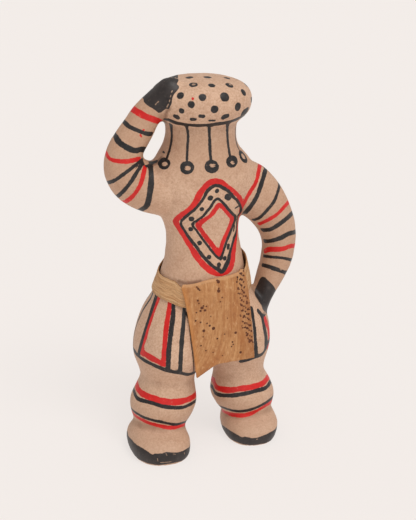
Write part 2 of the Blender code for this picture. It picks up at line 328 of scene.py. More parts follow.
def ring_strokes(tree, width, places, limb, reach=30 * MM, gap=0.0):
    """A stroke whose seen part goes through these places, and which runs on round the limb."""
    seen = [thrown(tree, *place) for place in dense(places, SPACING)]
    middle_line = [AXIS + Vector(point) * MM for point in limb]
    mean = sum(seen, Vector()) / len(seen)
    centre, along = nearest_on(middle_line, mean)
    spread = np.array([tuple(point - mean) for point in seen])
    moments = spread.T @ spread / len(seen)
    tilt = np.linalg.solve(
        moments + 0.04 * np.trace(moments) * np.eye(3), -moments @ np.array(along)
    )
    normal = (along + Vector(tilt)).normalized()
    centre += along * ((mean - centre).dot(normal) / along.dot(normal))
    first = seen[0] - centre
    first = (first - normal * first.dot(normal)).normalized()
    second = normal.cross(first)

    def turn_of(point):
        return math.atan2((point - centre).dot(second), (point - centre).dot(first))

    turns = [turn_of(point) for point in seen]
    for index in range(1, len(turns)):
        turns[index] += math.tau * round((turns[index - 1] - turns[index]) / math.tau)
    way = 1 if turns[-1] > 0 else -1
    offsets = [(point - centre).dot(normal) for point in (seen[-1], seen[0])]
    rest = math.tau - abs(turns[-1]) - gap
    steps = max(2, math.ceil(rest / math.radians(7)))
    hidden = []
    for step in range(1, steps + 1):
        share = step / steps
        turn = turns[-1] + way * rest * share
        out = first * math.cos(turn) + second * math.sin(turn)
        start = centre + normal * (offsets[0] + (offsets[1] - offsets[0]) * share)
        hit = tree.ray_cast(start, out, reach)[0]
        if hit:
            hidden.append(hit)
    depth = picture_places(np.array(seen))[1].mean()
    line = seen + hidden
    return apart(line, np.full(len(line), width / 2 * depth / FOCAL))


def stroke_fields(points, strokes):
    """What each point knows of its nearest stroke, in millimetres.

    That is how far it is outside the stroke's edge (less than 0 inside), the step to it from the
    nearest place on the stroke's middle, and half the stroke's width there.
    """
    outside = np.full(len(points), FAR)
    away = np.tile([FAR, 0.0, 0.0], (len(points), 1))
    half = np.zeros(len(points))
    for stroke in strokes:
        margin = FAR * MM + stroke.half.max()
        low, high = stroke.points.min(0) - margin, stroke.points.max(0) + margin
        near = np.flatnonzero(((points > low) & (points < high)).all(1))
        if not len(near):
            continue
        places = points[near]
        best, best_away, best_half = outside[near], away[near], half[near]
        last = len(stroke.points) - 1
        for index in range(max(1, last)):
            start, after = stroke.points[index], min(index + 1, last)
            way = stroke.points[after] - start
            share = np.clip((places - start) @ way / max(way @ way, 1e-15), 0, 1)
            step = (places - start - share[:, None] * way) / MM
            width = (stroke.half[index] + share * (stroke.half[after] - stroke.half[index])) / MM
            far = np.linalg.norm(step, axis=1) - width
            nearer = far < best
            best = np.where(nearer, far, best)
            best_away = np.where(nearer[:, None], step, best_away)
            best_half = np.where(nearer, width, best_half)
        outside[near], away[near], half[near] = best, best_away, best_half
    return outside, away, half


def set_strokes(mesh, name, points, strokes):
    """Keeps on the mesh what its points know of these strokes."""
    outside, away, half = stroke_fields(points, strokes)
    set_values(mesh, name, outside)
    set_vectors(mesh, name + "_away", away)
    set_values(mesh, name + "_half", half)


def outline_distance(places, outline):
    """How far these places in the picture are outside a closed outline, in pixels."""
    outline = np.array(outline, float)
    best = np.full(len(places), np.inf)
    inside = np.zeros(len(places), bool)
    for start, end in zip(outline, np.roll(outline, -1, axis=0)):
        way = end - start
        share = np.clip((places - start) @ way / (way @ way), 0, 1)
        best = np.minimum(best, np.linalg.norm(places - start - share[:, None] * way, axis=1))
        crosses = (start[1] > places[:, 1]) != (end[1] > places[:, 1])
        at = start[0] + (places[:, 1] - start[1]) * way[0] / (way[1] if way[1] else 1e-9)
        inside ^= crosses & (places[:, 0] < at)
    return np.where(inside, -best, best)


def limb_distance(points, limb):
    """How far each point is from a limb's middle line."""
    line = np.array([tuple(AXIS + Vector(point) * MM) for point in limb])
    best = np.full(len(points), np.inf)
    for start, end in zip(line, line[1:]):
        way = end - start
        share = np.clip((points - start) @ way / (way @ way), 0, 1)
        best = np.minimum(best, np.linalg.norm(points - start - share[:, None] * way, axis=1))
    return best


# The paint on the clay. Widths and places are pixels of the picture, and each ring has its colour,
# its width and the places that its seen part goes through

ARM_RINGS = [
    ("red", 5.6, [(132.8, 109), (139, 113), (145.8, 116.5), (152, 119), (159.6, 121.5)]),
    ("black", 3.6, [(123.8, 121.5), (129, 126.5), (138, 130.6), (146, 133.5), (152, 134)]),
    ("black", 4.8, [(115.2, 136), (119, 142), (126, 147), (135, 150.6), (141, 149.4), (146.2, 150)]),
    ("red", 3.6, [(106.8, 154.5), (109, 158), (115, 160.7), (127, 161.4), (139.7, 158.7)]),
    ("black", 3.0, [(109, 182.5), (116, 179.5), (128, 171), (142.4, 159.5)]),
    ("black", 3.4, [(118.3, 196), (124, 190.5), (130.5, 182.5), (137, 172), (142.8, 163)]),
    ("red", 4.0, [(126, 201.6), (132, 197), (138, 189), (142, 180), (145, 167)]),
    ("black", 5.2, [(141, 210), (146.5, 206), (149, 198), (151.2, 181), (150.6, 166)]),
]
LOWERED_RINGS = [
    ("red", 3.6, [(241.8, 208), (246, 199), (251, 190.5), (256.4, 181), (260, 164)]),
    ("black", 4.2, [(244.8, 213), (251, 206), (257, 196), (261, 185), (265.6, 170)]),
    ("black", 3.2, [(253.3, 220), (259, 218), (264.8, 212.7), (274.5, 200.6), (279.4, 186)]),
    ("red", 3.6, [(259, 224), (268, 220), (278, 213.4), (288.5, 202)]),
    ("black", 4.2, [(262.4, 230), (270, 229.5), (278, 225), (286, 219), (292.7, 212.7)]),
    ("black", 4.0, [(264.4, 241), (270, 241), (280.6, 238), (288, 234), (295, 232)]),
    ("red", 4.2, [(265, 251), (270, 249.4), (282, 249), (289, 246.5), (295, 245.5)]),
    ("black", 2.6, [(264, 256), (272, 257), (283, 258), (291.5, 260)]),
    ("black", 3.4, [(262.8, 265), (270, 267), (278, 270), (286, 272.7)]),
]
RIGHT_LEG_RINGS = [
    ("red", 5.4, [
        (136.6, 384.7), (138, 389), (143, 394), (152, 398), (164.6, 401.6), (177.4, 402),
        (189, 399), (195.3, 395),
    ]),
    ("black", 3.2, [
        (134, 391), (135.8, 396), (139.5, 399.5), (152, 403), (164.6, 406.7), (180.6, 407.6),
        (189, 405), (195.6, 401),
    ]),
    ("black", 2.7, [
        (135.6, 412.6), (144.1, 417.4), (154.6, 420.6), (160, 421.6), (168, 423.4),
        (175.5, 424.4), (182.3, 422.8), (187.4, 420.8),
    ]),
    ("red", 3.5, [
        (135.6, 415.8), (140.4, 419), (147.3, 422.2), (155, 424.6), (162.5, 426.3), (169, 427.6),
        (177, 426.6), (185, 423.6),
    ]),
]
LEFT_LEG_RINGS = [
    ("red", 4.8, [
        (213.8, 380.5), (217, 387.5), (228.7, 390), (240, 388.7), (251.7, 387), (263, 383),
        (269, 375.5),
    ]),
    ("black", 3.6, [
        (212.4, 387), (216.6, 394), (230, 395.6), (243, 394), (257.4, 390.4), (266, 387.6),
        (271, 380.7),
    ]),
    ("black", 3.2, [
        (221, 406.8), (232, 410.4), (241, 411.2), (250, 409.8), (257.4, 407), (266, 402.6),
        (272, 398),
    ]),
    ("red", 3.8, [
        (222, 409.8), (229, 413.4), (236.8, 415), (244, 415.2), (254, 412), (262, 407.8),
        (270, 402.8),
    ]),
]
# Each hem's limb, how far round it stays open in degrees, and its seen places
HEM_RINGS = [
    (RIGHT_LEG, 0, [
        (134.4, 350.8), (138, 355.6), (144.5, 360.4), (157, 366.6), (168, 370.8), (180, 372.9),
        (188, 374.4), (193.8, 373),
    ]),
    (LEFT_LEG, 110, [
        (240.9, 361.5), (248, 359.8), (255, 357), (261, 354.8), (264.6, 351), (266.6, 345),
    ]),
]
# The line round the cap's lower edge
CAP_LINE = [
    (170.2, 120.7), (176.4, 123), (187.1, 124.7), (197.9, 125.5), (208.6, 125),
    (219.3, 123.9), (228.2, 122.3), (233.6, 120.6), (239, 118.4),
]
# A third number is the width at that place
CHEST_LINES = [
    ("red", [
        (215.7, 181.3, 5.8), (210, 182.7, 5.6), (203.6, 188.4, 5.8), (199.3, 194.9, 6),
        (195.7, 202, 5.6), (191.4, 207.7, 5.2), (185, 212.7, 5.2), (177.9, 218.1, 5.6),
        (175.9, 222.4, 5.4), (180, 229.1, 5), (184.6, 236.6, 5.2), (189.6, 244.9, 5.2),
        (194.3, 252.4, 5.6), (198.6, 259.1, 5.8), (204.3, 265.6, 6), (210, 270.2, 6.2),
        (215, 273.1, 5.4), (220, 274.8, 2.6), (225.7, 272.9, 3.6), (230.4, 268.2, 4.6),
        (232.7, 260.6, 4.6), (233.4, 253.4, 4.4), (234.4, 244.1, 4), (235.9, 236.3, 3),
        (237.4, 227.7, 2.2), (238.7, 219.1, 1.8), (240.2, 212, 2.2), (241.2, 205.6, 2.8),
        (240.2, 199.5, 3.6), (237.1, 194.7, 4.4), (232.1, 190.6, 4.6), (226.4, 186, 4.8),
        (221.1, 182.2, 5.2),
    ]),
    ("black", [
        (215, 185.6, 3), (210, 188.4, 3.4), (206.4, 192.7, 3.2), (203.6, 198.4, 2.6),
        (199.3, 204.1, 2.6), (194.3, 209.9, 2.6), (187.9, 214.9, 2.8), (180.9, 222.6, 2.6),
        (185, 231.3, 2.4), (190.7, 239.9, 3), (196.4, 247, 3), (200.7, 253.4, 3.2),
        (206.4, 259.9, 3.2), (212.1, 265.6, 3.2), (217.1, 269.1, 3.4), (222.1, 271.8, 3.6),
        (226.4, 264.9, 4.2), (228.6, 259.9, 3.8), (229.6, 254.1, 2.8), (231.8, 246.3, 2.2),
        (233.9, 238.4, 1.9), (236.1, 232, 1.6), (237.5, 217.7, 1.2), (240.5, 212, 1.5),
        (240.3, 206.3, 1.9), (237.1, 200.6, 2.3), (232.9, 196.3, 2.9), (228.6, 191.3, 3.4),
        (222.9, 187.7, 3.4), (219.3, 185.9, 3.2),
    ]),
    ("black", [
        (216.6, 199.1, 2.8), (219.3, 199.5, 2.9), (222.9, 202.7, 2.8), (227.1, 207.7, 2.6),
        (231.4, 212.7, 2.6), (235.2, 216.8, 2.2), (234.3, 222, 2), (232.1, 227.7, 2.1),
        (229.3, 234.9, 2.2), (226.4, 242, 2.2), (223.9, 249.9, 2.2), (221.8, 256.3, 2.2),
        (220.7, 258.9, 2.4), (216.4, 256.3, 2.4), (212.1, 251.3, 2.5), (207.1, 244.9, 2.4),
        (202.1, 238.4, 2.2), (197.1, 231.3, 2.2), (192.4, 224.5, 2.4), (197.1, 220.6, 2.4),
        (202.9, 216.3, 2.4), (207.1, 211.3, 2.4), (210.7, 207, 2.4), (213.6, 202, 2.6),
    ]),
    ("red", [
        (198.2, 225.2, 5.4), (201.4, 230.6, 4.6), (206.4, 237.7, 4.4), (211.4, 244.1, 4.6),
        (215.7, 249.9, 5), (219.2, 253.7, 5.6), (221.1, 247.7, 4), (222.9, 242, 3.6),
        (225.7, 235.6, 3.4), (228.6, 229.1, 3.2), (231.1, 222.7, 3.2), (231.9, 218.4, 4),
        (227.9, 213.4, 3.8), (223.6, 208.4, 3.9), (219.3, 204.9, 4.2), (215.7, 209.1, 3.9),
        (211.4, 214.9, 4), (205.7, 219.1, 4.2), (201.4, 222, 4.8),
    ]),
]
CHEST_DOTS = [
    (217, 190.9, 3.9), (210.4, 198.1, 5.5), (201.9, 209.1, 4.4), (191.4, 219, 4.7),
    (190.7, 229.2, 4.5), (199.6, 242.9, 4.6), (209.1, 257.1, 4.1), (218.9, 264.7, 4.3),
    (224.9, 258.3, 4.1), (227.2, 196.6, 6.0), (228.9, 197.8, 5.2),
]
# Short strokes of the chest: place, length, thickness and clockwise lean
CHEST_DASHES = [
    (228.3, 246.6, 5.2, 2.7, 100), (234.0, 228.3, 5.8, 1.1, 99), (236.8, 207.2, 4.0, 1.0, -30),
    (238.4, 214.7, 3.2, 1.4, -60), (218.6, 267.8, 3.4, 2.4, 40),
]
# Each pendant: its cord's width and line, then its loop and the hole in it, as ovals
PENDANTS = [
    (2.1, [(170.8, 124.4), (171.8, 136.5), (170, 148), (166.6, 159)],
     (164.1, 163.6, 6, 5.8), (164.6, 164, 3.3, 2.3)),
    (2.2, [(186.3, 125.6), (188, 134.1), (187.6, 144.8), (186.8, 162)],
     (187.1, 167.6, 6.8, 6.7), (187.6, 168.2, 3.6, 2.5)),
    (2.9, [(209, 125.6), (209.5, 135.9), (210, 149.3), (210.9, 160.4)],
     (211.7, 166.5, 6.9, 6.5), (212.3, 165.5, 3.8, 2.0)),
    (2.1, [(227.8, 123.4), (227.3, 131.4), (228.2, 144.8), (230.1, 156.6)],
     (231.8, 161.6, 5.4, 6), (232.7, 162.7, 2.8, 1.8)),
]
CAP_DOTS = [
    (189.4, 77.4, 8.6), (207.5, 77.2, 7.8), (227.1, 78.1, 7.2), (193.4, 84.6, 8.4),
    (211.7, 85.3, 7.2), (229.4, 85.2, 7.6), (243.7, 92.3, 7.6), (180.4, 95.4, 7.4),
    (202.5, 97.3, 7.8), (224.8, 96.8, 8.9), (251.4, 100, 6.4), (191.3, 104.6, 6.9),
    (214.6, 109.3, 7.7), (238, 106.7, 8.2), (181.5, 110.9, 5.6), (246.2, 85, 6.0),
]
CAP_DASHES = [
    (245.2, 112, 7, 3.4, -33), (176.3, 116.8, 5.8, 3.6, 25), (201.8, 116.2, 6.4, 3.4, 5),
    (225.4, 116.7, 7.4, 4.4, -20), (193.2, 119.4, 5.6, 3, 0), (212, 120.6, 6.4, 1.7, 0),
]
# Loose marks of the brush on the neck and at the armpit
STRAY_DASHES = [
    (163.7, 152.3, 3.4, 1.6, 35), (153.4, 162.2, 7.4, 2.4, -15), (148.9, 166, 8, 2.2, 0),
    (164, 122.4, 1.6, 1.4, 0),
]
THIGH_LINES = [
    ("black", 2.6, [(156.6, 294.8), (152, 309), (146.8, 324.7), (142.2, 340), (138.9, 352)]),
    ("red", 3.2, [
        (158.9, 296.2), (154.2, 309), (149.6, 322, 3.6), (145.2, 336, 4), (141.6, 349.6, 4.4),
        (148, 355.9, 5), (156.4, 360.6, 5.2), (163.6, 364.2, 5),
    ]),
    ("red", 4.6, [(169.6, 302.4, 3.8), (168.8, 312), (166.6, 324.7), (164.8, 343), (163.8, 364)]),
    ("black", 4.6, [(173.4, 304, 3.4), (173, 316), (171.2, 330), (168.8, 351), (168, 369.5, 4.8)]),
    ("black", 4.0, [(184.2, 309, 3), (183.6, 322), (182.2, 336), (181, 354), (180.2, 371)]),
    ("black", 2.4, [(184.6, 311.4), (188.4, 315.4)]),
    # a thin dark line along the apron's left edge: partly a painted line, partly the apron's painted
    # shadow on the thigh
    ("black", 0.5, [(188.6, 316), (190.8, 340), (192.8, 356), (194, 372)]),
    ("black", 2.8, [(251.4, 308), (253.4, 320), (255, 334), (256.4, 356.6, 3.3)]),
    ("black", 2.8, [(258.4, 311), (261.8, 316), (264.4, 328), (266, 338), (266, 348)]),
    ("black", 2.2, [(264.8, 313.4), (262.2, 316.6)]),
    ("red", 3.0, [(264.6, 317.6), (267.4, 326), (269.2, 336), (268, 346)]),
]
RAISED_HAND = [
    (139, 94), (143.2, 98.4), (144, 101.4), (145.8, 104), (149.6, 106.4), (153.7, 109.1),
    (155.4, 110), (156.8, 111.5), (158.6, 112.7), (160.8, 112.4), (163, 110.9), (165.7, 108.4),
    (168.6, 109.2), (171.3, 104), (172.1, 99), (173.3, 95), (176, 91.6), (178.3, 88.9),
    (179.2, 87), (177.5, 84.8), (176.6, 83.4), (178.1, 81.2), (178, 77.4), (177.4, 70),
    (160, 66), (146, 80),
]
LOWERED_HAND = [
    (262.8, 276.7), (265, 277.6), (268.6, 280.8), (272.1, 284.4), (274.4, 287.4), (275.6, 290.2),
    (282, 292), (278, 304), (272, 313), (266.4, 313.4), (264.2, 311.2), (262.8, 309.9),
    (261.9, 306.3), (259.6, 302.3), (257.4, 298.8), (255.3, 295.6), (254.6, 292), (255.3, 288.9),
    (257.2, 285.2), (259.4, 280), (260.6, 277.8),
]
SOLE_TOPS = [
    ((-30.5, -4), [
        (127.4, 431), (128.5, 435.9), (131.6, 439.6), (135.3, 443.8), (141, 447.4), (147.3, 451),
        (150.4, 453.7), (153, 454.7), (154.6, 453.7), (161.4, 453.7), (166.6, 452.1),
        (172.9, 452.7), (179.7, 452.1), (185.5, 449.5), (189.4, 446.9),
    ]),
    ((27.5, -4), [
        (225, 427), (229.9, 430.4), (234.9, 433.4), (238.7, 435.6), (242.1, 437.3),
        (245.4, 436.8), (250.7, 438), (255.9, 438), (260.2, 436.8), (265, 434.9), (270.3, 432.2),
        (274.1, 430.1), (276.4, 427.2),
    ]),
]
# How large the cap's dots are beside their sizes in the table
CAP_DOT_SHARE = 0.91
RED_SPECKS = [
    (143.6, 130.2, 2.0), (140.4, 135, 1.6), (141.4, 136.6, 1.0), (192.8, 98.8, 2.2),
    (189.4, 450.6, 1.8),
]
# Places where the brush left the clay bare inside the paint
BARE_LINES = [
    (0.5, [(172.4, 90.6), (171.6, 92.2)]),
    (0.4, [(170.9, 95), (170.6, 96.4)]),
    (0.8, [(169.8, 100.2), (169.3, 102)]),
    (0.7, [(168.1, 104.8), (166.9, 107.1)]),
    (0.6, [(155.3, 104.7), (157.2, 102.6), (158.4, 101.6)]),
    (1.6, [(280.6, 268.6), (280.9, 269.6)]),
    (1.7, [(262.9, 311.2), (264.2, 312.8), (265.6, 312.6)]),
    (0.3, [(157.5, 458.6), (157.9, 461.4)]),
    (0.4, [(160.2, 462.6), (166, 462.3), (171.6, 461.6)]),
    (0.4, [(165.9, 453.6), (167, 455.6)]),
    (0.3, [(172.6, 453.9), (175.4, 454.3)]),
    (0.4, [(184.3, 452.6), (184.7, 453.8)]),
    (0.5, [(256.4, 439.5), (257.6, 439.1)]),
]
BARE_SPOTS = [(193.7, 84.4, 3.2), (230.2, 84.6, 2.2)]
# Painted shade in creases: above the apron's top, at the armpit and under the raised hand
PAINTED_SHADES = [
    (2.0, [(179, 281.4), (185, 283), (193, 282.6), (200, 281.2)]),
    (2.0, [(164.8, 122), (165.6, 116), (166.8, 111.4), (169.6, 108.6)]),
    (2.0, [(150, 165.4), (156, 162.8), (161, 158)]),
]


# What the camera doesn't see: how many dots stand round the cap at each height, the pendants'
# angles and lowest cord ends with the height that all cords start at, and the angles of the
# shorts' upright strokes, which start at a height under the band
CAP_ROWS = [(194.5, 17), (200, 15), (206, 14), (212, 11), (216, 7)]
HIDDEN_PENDANTS = [(-31, 177), (28, 177.5), (56, 175), (88, 175), (120, 175), (148, 177.5)]
PENDANT_TOP = 190
HIDDEN_THIGH_TURNS = [(RIGHT_LEG, (62, 95, 128, 161)), (LEFT_LEG, (28, 58, 88, 118))]
UNDER_BAND = 102 * MM


def hem_height(hem, middle, out):
    """How high a hem is on the side of its leg that faces this way."""
    points = np.concatenate([stroke.points for stroke in hem])
    steps = (points - np.array(middle))[:, :2]
    steps /= np.linalg.norm(steps, axis=1)[:, None]
    return points[(steps @ np.array(out)[:2]).argmax(), 2]


def hidden_thigh_lines(tree, limb, turns, hem):
    """Upright strokes on the sides of the shorts that the camera doesn't see, down to the hem."""
    line = [AXIS + Vector(point) * MM for point in limb]
    strokes = []
    for index, turn in enumerate(turns):
        out = outward(turn)
        top, bottom = UNDER_BAND, hem_height(hem, line[1], out)
        points = []
        for step in range(26):
            height = top + (bottom - top) * step / 25
            centre = nearest_on(line, Vector((line[0].x, line[0].y, height)))[0]
            hit = tree.ray_cast(Vector((centre.x, centre.y, height)), out, 45 * MM)[0]
            if hit:
                points.append(hit)
        if len(points) > 2:
            for stroke in apart(points, np.full(len(points), HIDDEN_HALF)):
                strokes.append((("black", "red", "black")[index % 3], stroke))
    return strokes


def paint_strokes(tree):
    """Every stroke of the figure, by colour; the bare ones are clay that shows through, the shade ones
    painted shade.
    """
    strokes = {"black": [], "spot": [], "red": [], "bare": [], "shade": []}
    for table, limb, gap in (
        ([(name, width, line[::-1]) for name, width, line in ARM_RINGS], RAISED_ARM, 65),
        (LOWERED_RINGS, LOWERED_ARM, 65),
        (RIGHT_LEG_RINGS, RIGHT_LEG, 0),
        (LEFT_LEG_RINGS, LEFT_LEG, 0),
    ):
        for colour, width, places in table:
            width *= BRUSH
            strokes[colour] += ring_strokes(tree, width, places, limb, gap=math.radians(gap))
    hems = [
        ring_strokes(tree, 4.3, places, limb, 45 * MM, math.radians(gap))
        for limb, gap, places in HEM_RINGS
    ]
    strokes["black"] += hems[0] + hems[1]
    strokes["black"] += ring_strokes(tree, 4.4, CAP_LINE, NECK)
    strokes["black"] += line_strokes(tree, 2.8, CAP_LINE)
    for width, places in BARE_LINES:
        strokes["bare"] += line_strokes(tree, width, places)
    # painted shade along the creases, kept as strokes
    for width, places in PAINTED_SHADES:
        strokes["shade"] += line_strokes(tree, width, places)
    strokes["bare"] += [spot(tree, *place) for place in BARE_SPOTS]
    for colour, places in CHEST_LINES:
        strokes[colour] += line_strokes(tree, 1, places, closed=True)
    for colour, width, places in THIGH_LINES:
        strokes[colour] += line_strokes(tree, width, places)
    for width, places, outer, hole in PENDANTS:
        strokes["black"] += line_strokes(tree, width, places)
        strokes["spot"] += loop_strokes(tree, outer, hole)
    for place in CHEST_DASHES + CAP_DASHES:
        strokes["spot"] += dash(tree, *place)
    for place in STRAY_DASHES:
        strokes["black"] += dash(tree, *place)
    strokes["spot"] += [spot(tree, *dot) for dot in CHEST_DOTS]
    strokes["spot"] += [spot(tree, x, y, CAP_DOT_SHARE * size) for x, y, size in CAP_DOTS]
    strokes["red"] += [spot(tree, *speck) for speck in RED_SPECKS]
    for (limb, turns), hem in zip(HIDDEN_THIGH_TURNS, hems):
        for colour, stroke in hidden_thigh_lines(tree, limb, np.radians(turns), hem):
            strokes[colour].append(stroke)
    cords, loops = hidden_pendants(tree)
    strokes["black"] += cords
    strokes["spot"] += loops + hidden_cap_dots(tree)
    for number, colour in enumerate(strokes):
        for index, stroke in enumerate(strokes[colour]):
            stroke.uneven(index + 500 * number)
    return strokes


def hidden_pendants(tree):
    """The neck's pendants beside and behind what the camera sees: their cords and their loops."""
    cords, loops = [], []
    for turn, bottom in HIDDEN_PENDANTS:
        turn = math.radians(turn)
        out = outward(turn)
        points = []
        for step in range(14):
            height = PENDANT_TOP + (bottom - PENDANT_TOP) * step / 13
            start = AXIS + Vector((0, 0, height)) * MM
            hit = tree.ray_cast(start, out, 40 * MM)[0]
            if hit and (hit - start).length < 30 * MM:
                points.append(hit)
        cords += apart(points, np.full(len(points), CORD_HALF))
        ring = []
        for k in range(12):
            angle = k * math.tau / 12
            side = Vector((-out.y, out.x, 0)) * (2.8 * MM * math.cos(angle))
            start = AXIS + side + Vector((0, 0, bottom - 3 + 2.6 * math.sin(angle))) * MM
            hit = tree.ray_cast(start, out, 45 * MM)[0]
            if hit:
                ring.append(hit)
        if len(ring) == 12:
            loops.append(Stroke(ring, HIDDEN_HALF, True))
    return cords, loops


def hidden_cap_dots(tree):
    """The cap's dots on the side that the camera doesn't see."""
    strokes = []
    seen = [thrown(tree, x, y) for x, y, _ in CAP_DOTS]
    for row, (height, count) in enumerate(CAP_ROWS):
        for index in range(count):
            turn = math.tau * (index + 0.5 * (row % 2)) / count
            swing = noise.noise(Vector((row * 3.7, index * 1.9, 2.0)))
            turn += 0.12 * swing
            out = outward(turn)
            start = AXIS + Vector((-0.8, 0, height + 1.2 * swing)) * MM
            hit, normal = tree.ray_cast(start, out, 45 * MM)[:2]
            if hit is None:
                continue
            shown = normal.dot((EYE - hit).normalized()) > 0.12
            near = min((hit - place).length for place in seen) < 5.5 * MM
            if not shown and not near:
                size = 1.75 + 0.45 * noise.noise(Vector((index * 2.3, row * 5.1, 9.0)))
                strokes.append(Stroke([hit], size * MM))
    return strokes


# Materials


def new_material(name):
    material = bpy.data.materials.new(name)
    material.use_nodes = True
    tree = material.node_tree
    return material, tree, tree.nodes["Principled BSDF"]


def add(tree, kind, inputs=None, **settings):
    made = tree.nodes.new(kind)
    for name, value in settings.items():
        setattr(made, name, value)
    for name, value in (inputs or {}).items():
        if isinstance(value, bpy.types.NodeSocket):
            tree.links.new(value, made.inputs[name])
        else:
            made.inputs[name].default_value = value
    return made


def maths(tree, operation, *values):
    return add(tree, "ShaderNodeMath", dict(enumerate(values)), operation=operation).outputs[0]


def mix(tree, share, first, second):
    made = add(tree, "ShaderNodeMix", {0: share, 6: first, 7: second}, data_type="RGBA")
    return made.outputs[2]


def ranged(tree, value, low, high, to_low=0.0, to_high=1.0):
    inputs = {0: value, 1: low, 2: high, 3: to_low, 4: to_high}
    return add(tree, "ShaderNodeMapRange", inputs).outputs[0]


def attribute(tree, name):
    return add(tree, "ShaderNodeAttribute", attribute_name=name).outputs["Fac"]


def noisy(tree, place, scale, detail=2.0, roughness=0.5, distortion=0.0):
    inputs = {
        "Vector": place,
        "Scale": scale,
        "Detail": detail,
        "Roughness": roughness,
        "Distortion": distortion,
    }
    return add(tree, "ShaderNodeTexNoise", inputs).outputs[0]


def object_place(tree, stretch=(1, 1, 1)):
    place = add(tree, "ShaderNodeTexCoord").outputs["Object"]
    if stretch == (1, 1, 1):
        return place
    return add(tree, "ShaderNodeMapping", {"Vector": place, "Scale": stretch}).outputs[0]


def colour(red, green, blue):
    """A screen colour from 0 to 255, as the linear colour that a shader takes."""

    def linear(value):
        value /= 255
        return value / 12.92 if value <= 0.04045 else ((value + 0.055) / 1.055) ** 2.4

    return (linear(red), linear(green), linear(blue), 1)


def bumped(tree, shader, height, distance, strength):
    inputs = {"Height": height, "Distance": distance, "Strength": strength}
    out = add(tree, "ShaderNodeBump", inputs).outputs[0]
    tree.links.new(out, shader.inputs["Normal"])


def layered(tree, base, rows):
    """A colour with more over it, each at most its share and where its value is in its range."""
    for value, low, high, share, *tint in rows:
        base = mix(tree, ranged(tree, value, low, high, 0.0, share), base, colour(*tint))
    return base


def edge_of(tree, name, guard):
    """How far outside a stroke's edge, which stays crisp between the mesh's points."""
    step = add(tree, "ShaderNodeAttribute", attribute_name=name + "_away").outputs["Vector"]
    far = add(tree, "ShaderNodeVectorMath", {0: step}, operation="LENGTH").outputs["Value"]
    crisp = maths(tree, "SUBTRACT", far, attribute(tree, name + "_half"))
    return maths(tree, "MAXIMUM", crisp, maths(tree, "SUBTRACT", attribute(tree, name), guard))


def painted_clay():
    material, tree, shader = new_material("Painted clay")
    place = object_place(tree)
    broad = noisy(tree, place, 30, 3, 0.55)
    mottle = noisy(tree, place, 130, 4, 0.6)
    grain = noisy(tree, place, 950, 3, 0.65)
    speckle = noisy(tree, place, 520, 2, 0.6)
    clay = mix(tree, ranged(tree, broad, 0.35, 0.65), colour(203, 164, 136), colour(213, 174, 145))
    level = add(tree, "ShaderNodeSeparateXYZ", {0: place}).outputs[2]
    clay = layered(tree, clay, [
        (mottle, 0.42, 0.70, 0.6, 191, 149, 121),
        (grain, 0.45, 0.68, 0.5, 228, 196, 170),
        (grain, 0.50, 0.32, 0.34, 170, 131, 105),
        (speckle, 0.60, 0.74, 0.42, 166, 124, 98),
        # painted shade on the arms, the neck, the waist and the feet
        (attribute(tree, "body_shade"), 0.0, 1.0, 0.55, 178, 137, 109),
        # the clay is darker towards the bottom, below 75 mm
        (level, 0.075, 0.02, 0.35, 182, 146, 121),
        # painted shade along the crease strokes
        (attribute(tree, "shade"), 1.0, -0.5, 0.75, 112, 74, 54),
        # painted shade in the clay's hollows and creases
        (attribute(tree, "hollow_shade"), 0.15, 1.0, 0.6, 136, 97, 72),
    ])

    ragged = noisy(tree, place, 620, 3, 0.6)
    edge = maths(tree, "MULTIPLY", maths(tree, "SUBTRACT", ragged, 0.5), 0.75)
    dry = noisy(tree, place, 420, 3, 0.65)
    patchy = noisy(tree, place, 90, 3, 0.6)

    def coat(field, thin):
        """How much paint covers the clay, where dry places leave this share of it at least."""
        cover = ranged(tree, maths(tree, "ADD", field, edge), 0.20, -0.02)
        return maths(tree, "MULTIPLY", cover, ranged(tree, dry, 0.24, 0.36, thin, 1.0))

    red = mix(tree, ranged(tree, patchy, 0.35, 0.70), colour(201, 20, 17), colour(217, 32, 26))
    red = layered(tree, red, [(dry, 0.50, 0.75, 0.6, 174, 17, 17)])
    hands = mix(tree, ranged(tree, patchy, 0.35, 0.65), colour(36, 30, 29), colour(52, 44, 42))
    lines = mix(tree, ranged(tree, patchy, 0.35, 0.65), colour(23, 21, 22), colour(38, 34, 34))
    black = mix(tree, ranged(tree, attribute(tree, "area"), 0.4, -0.2), lines, hands)
    black = layered(tree, black, [(dry, 0.52, 0.78, 0.7, 76, 66, 62)])
    edges = {name: edge_of(tree, name, CLAY_GUARD) for name in ("red", "black", "spot", "bare")}
    red_cover = coat(edges["red"], 0.6)
    brushed = maths(tree, "MINIMUM", edges["black"], edges["spot"])
    black_cover = coat(maths(tree, "MINIMUM", brushed, attribute(tree, "area")), 0.8)
    bare = coat(edges["bare"], 0.3)
    painted = maths(tree, "MAXIMUM", red_cover, black_cover)
    base = mix(tree, black_cover, mix(tree, red_cover, clay, red), black)
    base = mix(tree, maths(tree, "MULTIPLY", bare, 0.6), base, clay)
    tree.links.new(base, shader.inputs["Base Color"])
    rough = ranged(tree, mottle, 0.3, 0.7, 0.58, 0.70)
    gloss = maths(tree, "MULTIPLY", painted, -0.16)
    tree.links.new(maths(tree, "ADD", rough, gloss), shader.inputs["Roughness"])
    shader.inputs["Specular IOR Level"].default_value = 0.42
    height = maths(tree, "ADD", grain, maths(tree, "MULTIPLY", mottle, 1.4))
    bumped(tree, shader, height, 0.09 * MM, 0.8)
    return material


